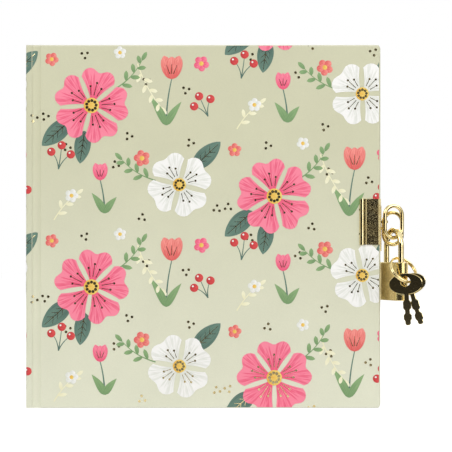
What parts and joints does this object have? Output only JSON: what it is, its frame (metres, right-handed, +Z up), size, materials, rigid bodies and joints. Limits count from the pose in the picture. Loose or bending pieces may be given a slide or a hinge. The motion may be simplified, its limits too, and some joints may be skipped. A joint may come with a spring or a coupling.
{
  "type": "lockable diary",
  "caption": "Square hardback diary with sewn sections, a clip and ring on each cover's fore edge, and a small padlock with keys that holds the covers shut.",
  "frame": {"origin": "middle of the back cover's tail edge, on the surface that the book stands on", "axes": "+Z up the spine to the head, -Y out of the front cover, -X to the spine, +X to the lock"},
  "size_m": [0.1811, 0.0252, 0.165],
  "materials": {
    "grey_board": "matt grey board",
    "printed_wrap": "satin printed paper, pale sage with flowers",
    "end_paper": "plain cream end paper",
    "page_paper": "plain white writing paper",
    "lining": "open cotton lining",
    "gold_plate": "polished gold-coloured plate",
    "frosted_gold": "frosted flats, polished round ends",
    "dark_gold": "polished, mirrors its surroundings",
    "spring_steel": "plain spring steel"
  },
  "bodies": {
    "back_cover": {"back_board": "grey_board", "back_wrap": "printed_wrap", "back_pastedown": "end_paper", "spine_board": "grey_board", "spine_wrap": "printed_wrap", "spine_lining": "lining", "section_4": "page_paper", "section_5": "page_paper", "section_6": "page_paper", "back_flyleaf": "end_paper", "back_clip": "gold_plate"},
    "front_cover": {"front_board": "grey_board", "front_wrap": "printed_wrap", "front_pastedown": "end_paper", "front_clip": "gold_plate"},
    "front_flyleaf": {"front_flyleaf": "end_paper"},
    "section_1": {"section_1": "page_paper"},
    "section_2": {"section_2": "page_paper"},
    "section_3": {"section_3": "page_paper"},
    "front_ring": {"front_ring": "gold_plate"},
    "back_ring": {"back_ring": "gold_plate"},
    "shackle": {"shackle": "gold_plate"},
    "padlock": {"lock_case": "frosted_gold", "lock_base": "gold_plate", "ward_plate_1": "spring_steel", "ward_plate_2": "spring_steel", "latch_spring": "spring_steel", "shackle_spring": "spring_steel"},
    "key_ring": {"key_ring": "gold_plate"},
    "key_1": {"key_1": "dark_gold"},
    "key_2": {"key_2": "dark_gold"}
  },
  "joints": [
    {"name": "cover_open", "type": "hinge", "parent": "back_cover", "child": "front_cover", "pos_m": [-0.0816, -0.00981, 0.0825], "axis": [0, 0, -1], "range_deg": [0, 180]},
    {"name": "front_flyleaf_turn", "type": "hinge", "parent": "back_cover", "child": "front_flyleaf", "pos_m": [-0.0816, -0.00981, 0.0825], "axis": [0, 0, -1], "range_deg": [0, 180]},
    {"name": "section_1_turn", "type": "hinge", "parent": "back_cover", "child": "section_1", "pos_m": [-0.0816, -0.00981, 0.0825], "axis": [0, 0, -1], "range_deg": [0, 180]},
    {"name": "section_2_turn", "type": "hinge", "parent": "back_cover", "child": "section_2", "pos_m": [-0.0816, -0.00981, 0.0825], "axis": [0, 0, -1], "range_deg": [0, 180]},
    {"name": "section_3_turn", "type": "hinge", "parent": "back_cover", "child": "section_3", "pos_m": [-0.0816, -0.00981, 0.0825], "axis": [0, 0, -1], "range_deg": [0, 180]},
    {"name": "front_ring_swing", "type": "hinge", "parent": "front_cover", "child": "front_ring", "pos_m": [0.0789, -0.00861, 0.0846], "axis": [0, 0, 1], "range_deg": [-2, 5]},
    {"name": "back_ring_swing", "type": "hinge", "parent": "back_cover", "child": "back_ring", "pos_m": [0.0789, 0, 0.0816], "axis": [0, 0, 1], "range_deg": [-5, 3]},
    {"name": "padlock_swing", "type": "hinge", "parent": "back_cover", "child": "shackle", "pos_m": [0.08413, -0.0066, 0.08038], "axis": [0.3735, -0.9245, 0.076], "range_deg": [-0.5, 25]},
    {"name": "lock_drop", "type": "slide", "parent": "shackle", "child": "padlock", "axis": [0, 0, -1], "range_m": [0, 0.004], "deforming": ["shackle_spring", "latch_spring"]},
    {"name": "key_ring_swing", "type": "hinge", "parent": "padlock", "child": "key_ring", "pos_m": [0.08605, -0.01135, 0.0661], "axis": [0, 0, 1], "range_deg": [-30, 10]},
    {"name": "key_1_swing", "type": "hinge", "parent": "key_ring", "child": "key_1", "pos_m": [0.08771, -0.017, 0.05767], "axis": [0.2588, 0.9659, 0], "range_deg": [-40, 40]},
    {"name": "key_2_swing", "type": "hinge", "parent": "key_ring", "child": "key_2", "pos_m": [0.08915, -0.01614, 0.05741], "axis": [0.2588, 0.9659, 0], "range_deg": [-40, 40]}
  ],
  "couplings": [
    {"joint": "front_flyleaf_turn", "follows": "cover_open", "ratio": 0.985},
    {"joint": "section_1_turn", "follows": "cover_open", "ratio": 0.975},
    {"joint": "section_2_turn", "follows": "cover_open", "ratio": 0.955},
    {"joint": "section_3_turn", "follows": "cover_open", "ratio": 0.935}
  ]
}
